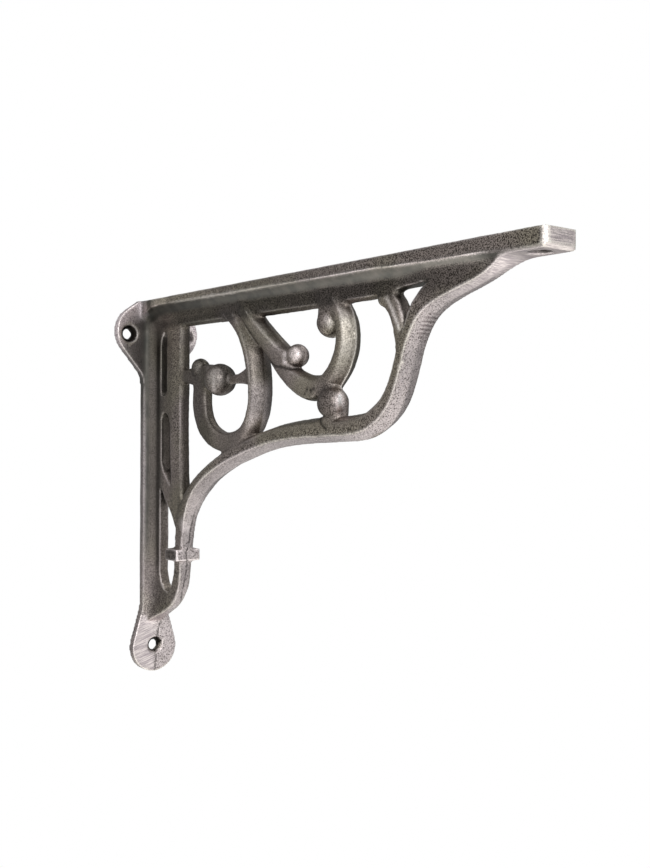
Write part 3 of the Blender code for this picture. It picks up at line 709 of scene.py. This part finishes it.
# %% Helpers for colour and nodes
def linear(hex_colour):
    """A colour such as #A69C9F as the linear light that a shader takes."""
    channels = [int(hex_colour[i:i + 2], 16) / 255 for i in (1, 3, 5)]
    return [c / 12.92 if c <= 0.04045 else ((c + 0.055) / 1.055) ** 2.4 for c in channels] + [1.0]


def add(tree, kind, inputs=None, out=0, **settings):
    """Adds a node and gives back one of its outputs: inputs are values or sockets to link."""
    node = tree.nodes.new(kind)
    for name, value in settings.items():
        setattr(node, name, value)
    for key, value in (inputs or {}).items():
        if isinstance(value, bpy.types.NodeSocket):
            tree.links.new(value, node.inputs[key])
        else:
            node.inputs[key].default_value = value
    return node.outputs[out] if node.outputs else node


def blend(tree, amount, a, b):
    """Mixes two colours, each a hex value or a socket, by an amount that is a number or a socket."""
    a, b = [linear(c) if isinstance(c, str) else c for c in (a, b)]
    return add(tree, "ShaderNodeMix", {0: amount, 6: a, 7: b}, out=2, data_type="RGBA")


def fit(tree, value, low, high, to_low=0.0, to_high=1.0):
    """Stretches a value from one range to another and clamps it."""
    return add(tree, "ShaderNodeMapRange", {
        "Value": value, "From Min": low, "From Max": high, "To Min": to_low, "To Max": to_high})


print("white in linear light:", linear("#FFFFFF"))

# %% [markdown]
# Burnished grey iron: the casting keeps a brown-black skin of oxide and burnt sand, a wire brush rubs
# the high spots back to bright iron, and the belt leaves pale, slightly pink metal with fine lines.
# Metal is 1 and the index of refraction is left alone; what changes from place to place is colour,
# roughness and height. A noise scale is one over the size of its lumps, since the coordinates are mm.
# Real moulding sand is near 0.25 mm, too fine to show here, so it is drawn almost twice as coarse.

# %% Coordinates, wear with painted light, and noise
GRAIN = 0.47          # sand grains in mm
BLOTCH = 7.0          # patches that the brush rubbed more or less
TINT = 30.0           # how far the colour of the oxide runs before it turns
iron = bpy.data.materials.new("burnished_grey_iron")
iron.use_nodes = True
nt = iron.node_tree
nt.nodes.clear()
place = add(nt, "ShaderNodeTexCoord", out="Object")
mm = add(nt, "ShaderNodeVectorMath", {0: place, "Scale": 1 / MM}, operation="SCALE")
wear = {name: add(nt, "ShaderNodeAttribute", attribute_name=name, out="Fac") for name in carried}
grain = add(nt, "ShaderNodeTexNoise", {"Vector": mm, "Scale": 1 / GRAIN, "Detail": 2.0, "Roughness": 0.6})
blotch = add(nt, "ShaderNodeTexNoise", {"Vector": mm, "Scale": 1 / BLOTCH, "Detail": 3.0, "Roughness": 0.55})
tint = add(nt, "ShaderNodeTexNoise", {"Vector": mm, "Scale": 1 / TINT, "Detail": 1.0})
warm = fit(nt, tint, 0.42, 0.58)
print("values carried to the material:", ", ".join(wear))

# %% [markdown]
# The sand skin has burnt black pits between worn grains. The satin skin is an even grey-brown oxide,
# and the bloom is thin enough to let the metal through.

# %% Sand skin
sand = blend(nt, warm, "#A79C96", "#A69E8F")
speckle = add(nt, "ShaderNodeMix", {0: wear["coarse"], 2: 0.55, 3: fit(nt, grain, 0.41, 0.59)})
sandy = blend(nt, speckle, "#342E2A", sand)
plain = blend(nt, fit(nt, blotch, 0.3, 0.7), "#464643", "#5F5C57")
bloom = blend(nt, fit(nt, grain, 0.38, 0.56), "#958B8D", "#E2D7D9")
skin = blend(nt, wear["satin"], sandy, plain)
skin = blend(nt, wear["pale"], skin, bloom)
print("nodes for the skin:", len(nt.nodes))

# %% [markdown]
# The belt's grit scratches fine lines across the strip, and down it where the brace climbs to the tip,
# because the bracket was turned in the hands there. The lug was held at a slant of 17 degrees. Real
# scratches are near 0.1 mm wide, too fine to show, so they are drawn about 0.3 mm wide. Pits that lay
# deeper than the belt cut stay dark, and the wheel's chatter crosses them in stripes 1.3 mm apart.

# %% Ground faces with belt lines and the chatter of the wheel
ACROSS_LINES = (3.4, 0.14, 3.4)       # noise lumps per mm: thin up and out, long across the strip
DOWN_LINES = (1.6, 1.9, 0.22)         # thin across the strip, long down it
STRIPES = 0.24                        # the wave texture's own measure for 1.3 mm
SLANT = math.radians(-17)
LUG_TOP, LUG_LOW = -120, -130         # heights in mm between which the slant sets in
high = add(nt, "ShaderNodeSeparateXYZ", {0: mm}, out="Z")
tilt = fit(nt, high, LUG_LOW, LUG_TOP, SLANT, 0.0)
turned = add(nt, "ShaderNodeVectorRotate", {"Vector": mm, "Angle": tilt}, rotation_type="X_AXIS")
across = add(nt, "ShaderNodeVectorMath", {0: turned, 1: ACROSS_LINES}, operation="MULTIPLY")
down = add(nt, "ShaderNodeVectorMath", {0: mm, 1: DOWN_LINES}, operation="MULTIPLY")
lines_across = add(nt, "ShaderNodeTexNoise", {"Vector": across, "Scale": 1.0, "Detail": 2.0})
lines_down = add(nt, "ShaderNodeTexNoise", {"Vector": down, "Scale": 1.0, "Detail": 2.0})
lines = add(nt, "ShaderNodeMix", {0: wear["upright"], 2: lines_across, 3: lines_down})
clear = fit(nt, wear["satin"], 0.0, 0.6, 0.35, 1.0)
belt_lines = add(nt, "ShaderNodeMix", {0: clear, 2: 0.55, 3: fit(nt, lines, 0.38, 0.62)})
belt = blend(nt, belt_lines, "#A69C9F", "#DED5D2")
stripes = add(nt, "ShaderNodeTexWave", {"Vector": mm, "Scale": STRIPES, "Distortion": 0.6}, out="Fac",
              wave_type="BANDS", bands_direction="Z")
struck = add(nt, "ShaderNodeMath", {0: stripes, 1: wear["chatter"]}, operation="MULTIPLY")
belt = blend(nt, struck, belt, "#857B7C")
pits = add(nt, "ShaderNodeMix", {
    0: wear["pitted"], 2: fit(nt, grain, 0.36, 0.50, 0.1, 1.0), 3: fit(nt, grain, 0.38, 0.50)})
fewer_pits = add(nt, "ShaderNodeMath", {0: pits, 1: wear["satin"]}, operation="MAXIMUM")
cut = add(nt, "ShaderNodeMath", {0: wear["ground"], 1: fewer_pits}, operation="MULTIPLY")
skin = blend(nt, cut, skin, belt)
print("nodes with the belt:", len(nt.nodes))

# %% [markdown]
# A brush only meets the tops of the grains, so bright iron and the painted highlights are broken up by
# the same grain. Dirt and painted shade lie over everything, and the shade of each stretch, painted light
# among it, scales what is there.

# %% Rubbed metal with painted highlights, dirt with painted shade, and shade
peaks = fit(nt, grain, 0.36, 0.56, 0.4, 1.0)
# rubbed iron and painted highlights in one bright colour
rubbed = add(nt, "ShaderNodeMath", {0: wear["rub"], 1: peaks}, operation="MULTIPLY")
skin = blend(nt, rubbed, skin, blend(nt, warm, "#EEE4E3", "#EEE8DE"))
# dirt and painted shade in one dark colour
skin = blend(nt, wear["dirt"], skin, "#1E1B18")
colour = add(nt, "ShaderNodeVectorMath", {0: skin, "Scale": wear["shade"]}, operation="SCALE")
print("nodes with the wear:", len(nt.nodes))

# %% [markdown]
# Rubbed iron is the smoothest, at a roughness of 0.30, and the pits between the grains are the dullest,
# at 0.50. The grain is also lifted by a tenth of a millimetre, a quarter of that where it is satin.

# %% Roughness, height and shader
GRAIN_HEIGHT = 0.10   # mm
sand_rough = fit(nt, grain, 0.3, 0.7, 0.50, 0.36)
rub_rough = add(nt, "ShaderNodeMix", {0: wear["rub"], 2: sand_rough, 3: 0.30})
all_rough = add(nt, "ShaderNodeMix", {0: cut, 2: rub_rough, 3: 0.38})
softened = fit(nt, wear["satin"], 0.0, 1.0, 1.0, 0.25)
height = add(nt, "ShaderNodeMath", {0: grain, 1: softened}, operation="MULTIPLY")
bump = add(nt, "ShaderNodeBump", {"Strength": 0.8, "Distance": GRAIN_HEIGHT * MM, "Height": height})
shader = add(nt, "ShaderNodeBsdfPrincipled", {
    "Base Color": colour, "Metallic": 1.0, "Roughness": all_rough, "Normal": bump})
add(nt, "ShaderNodeOutputMaterial", {"Surface": shader})
casting.data.materials.clear()
casting.data.materials.append(iron)
print(iron.name, "has", len(nt.nodes), "nodes")

# %% [markdown]
# The skin is one rigid piece, so it rides the only body there is, hides the solid that it stands for,
# and wears cast iron.

# %% Hand the skin to the frame
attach(casting, "root")
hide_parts("bracket")
print(casting.name, "stands for", solid.name)

# %% [markdown]
# The photograph looks at the near side from the right and from a little below the shelf, level, with a
# lens of about 47 mm. The lens, the place and the small tilts were solved from known points, so they
# are written as they came out.

# %% Camera at the photograph's angle
LENS = 1121.94 * 36 / 868      # mm on a 36 mm sensor
turn, pitch, roll = 0.669, 0.005, 0.004
aside, away, low = -84.343, 545.724, 66.053
forward = Vector((-math.cos(turn), math.sin(turn), 0))
right = Vector((math.sin(turn), math.cos(turn), 0))
up = Vector((0, 0, 1))
look = forward * math.cos(pitch) + up * math.sin(pitch)
up = up * math.cos(pitch) - forward * math.sin(pitch)
side = right * math.cos(roll) + up * math.sin(roll)
up = up * math.cos(roll) - right * math.sin(roll)
spot = Vector((
    -aside * math.sin(turn) + away * math.cos(turn),
    -aside * math.cos(turn) - away * math.sin(turn),
    SHELF_FACE - low)) * MM
camera_data = bpy.data.cameras.new("camera")
camera_data.lens = LENS
camera = bpy.data.objects.new("camera", camera_data)
bpy.context.scene.collection.objects.link(camera)
camera.matrix_world = Matrix.Translation(spot) @ Matrix((side, up, -look)).transposed().to_4x4()
bpy.context.scene.camera = camera
print("camera at mm", [round(v / MM, 1) for v in spot])

# %% [markdown]
# Bare metal shows what stands around it, so the light is a room. The picture has white paper behind,
# and the iron sees a room that is bright towards the near side and dim behind the bracket.

# %% Room
BRIGHT_SIDE = (0.76, -0.61, 0.22)
room = bpy.data.worlds.new("pale_room")
room.use_nodes = True
wt = room.node_tree
wt.nodes.clear()
towards = add(wt, "ShaderNodeTexCoord", out="Generated")
front = add(wt, "ShaderNodeVectorMath", {0: towards, 1: BRIGHT_SIDE}, out="Value", operation="DOT_PRODUCT")
room_level = fit(wt, front, -1.0, 1.0, 0.16, 1.05)
paper = add(wt, "ShaderNodeLightPath", out="Is Camera Ray")
room_strength = add(wt, "ShaderNodeMix", {0: paper, 2: room_level, 3: 1.0})
glow = add(wt, "ShaderNodeBackground", {"Color": linear("#FFFFFF"), "Strength": room_strength})
add(wt, "ShaderNodeOutputWorld", {"Surface": glow})
bpy.context.scene.world = room
bpy.context.scene.view_settings.view_transform = "Standard"
print(room.name, "has", len(wt.nodes), "nodes")

# %% [markdown]
# The floor is a light table, the white lit acrylic that goods are photographed on. It lies well below
# the bracket and brightens the undersides.

# %% Floor
FLOOR_DROP, FLOOR_RADIUS, FLOOR_SIDES = 900.0, 1450.0, 96
rim_points = [(FLOOR_RADIUS * MM * math.cos(t), FLOOR_RADIUS * MM * math.sin(t), 0)
              for t in np.linspace(0, 2 * math.pi, FLOOR_SIDES, endpoint=False)]
floor_mesh = bpy.data.meshes.new("floor")
floor_mesh.from_pydata(rim_points, [], [tuple(range(FLOOR_SIDES))])
floor = bpy.data.objects.new("floor", floor_mesh)
floor.location = (0.12, 0, -FLOOR_DROP * MM)
bpy.context.scene.collection.objects.link(floor)
acrylic = bpy.data.materials.new("lit_white_acrylic")
acrylic.use_nodes = True
paint = acrylic.node_tree.nodes["Principled BSDF"]
paint.inputs["Base Color"].default_value = linear("#F4F3F0")
paint.inputs["Roughness"].default_value = 0.6
paint.inputs["Emission Color"].default_value = linear("#FFFFFF")
paint.inputs["Emission Strength"].default_value = 0.42
floor_mesh.materials.append(acrylic)
print("floor", round(FLOOR_RADIUS * 2), "mm across")

# %% [markdown]
# Two large soft boxes draw the long highlights: one behind the camera and a little above it, as a
# window would stand, and a weaker one over the bracket.


# %% Soft boxes
def soft_box(name, centre, size, glow_level, aim=(120, 0, -70)):
    """A square area lamp in mm whose face glows at the given level, white paper being 1."""
    lamp = bpy.data.lights.new(name, "AREA")
    lamp.shape = "SQUARE"
    lamp.size = size * MM
    lamp.energy = glow_level * math.pi * (size * MM) ** 2
    piece = bpy.data.objects.new(name, lamp)
    bpy.context.scene.collection.objects.link(piece)
    aim_at = Vector(aim) * MM - Vector(centre) * MM
    turned_to = aim_at.to_track_quat("-Z", "Y").to_matrix().to_4x4()
    piece.matrix_world = Matrix.Translation(Vector(centre) * MM) @ turned_to
    print(name, "gives", round(lamp.energy, 2), "W")
    return piece


soft_box("window_box", (1050, -750, 330), 480, 3.6)
soft_box("top_box", (250, 200, 1100), 900, 1.6)

# %% [markdown]

# %% Finish
print("both boxes written")
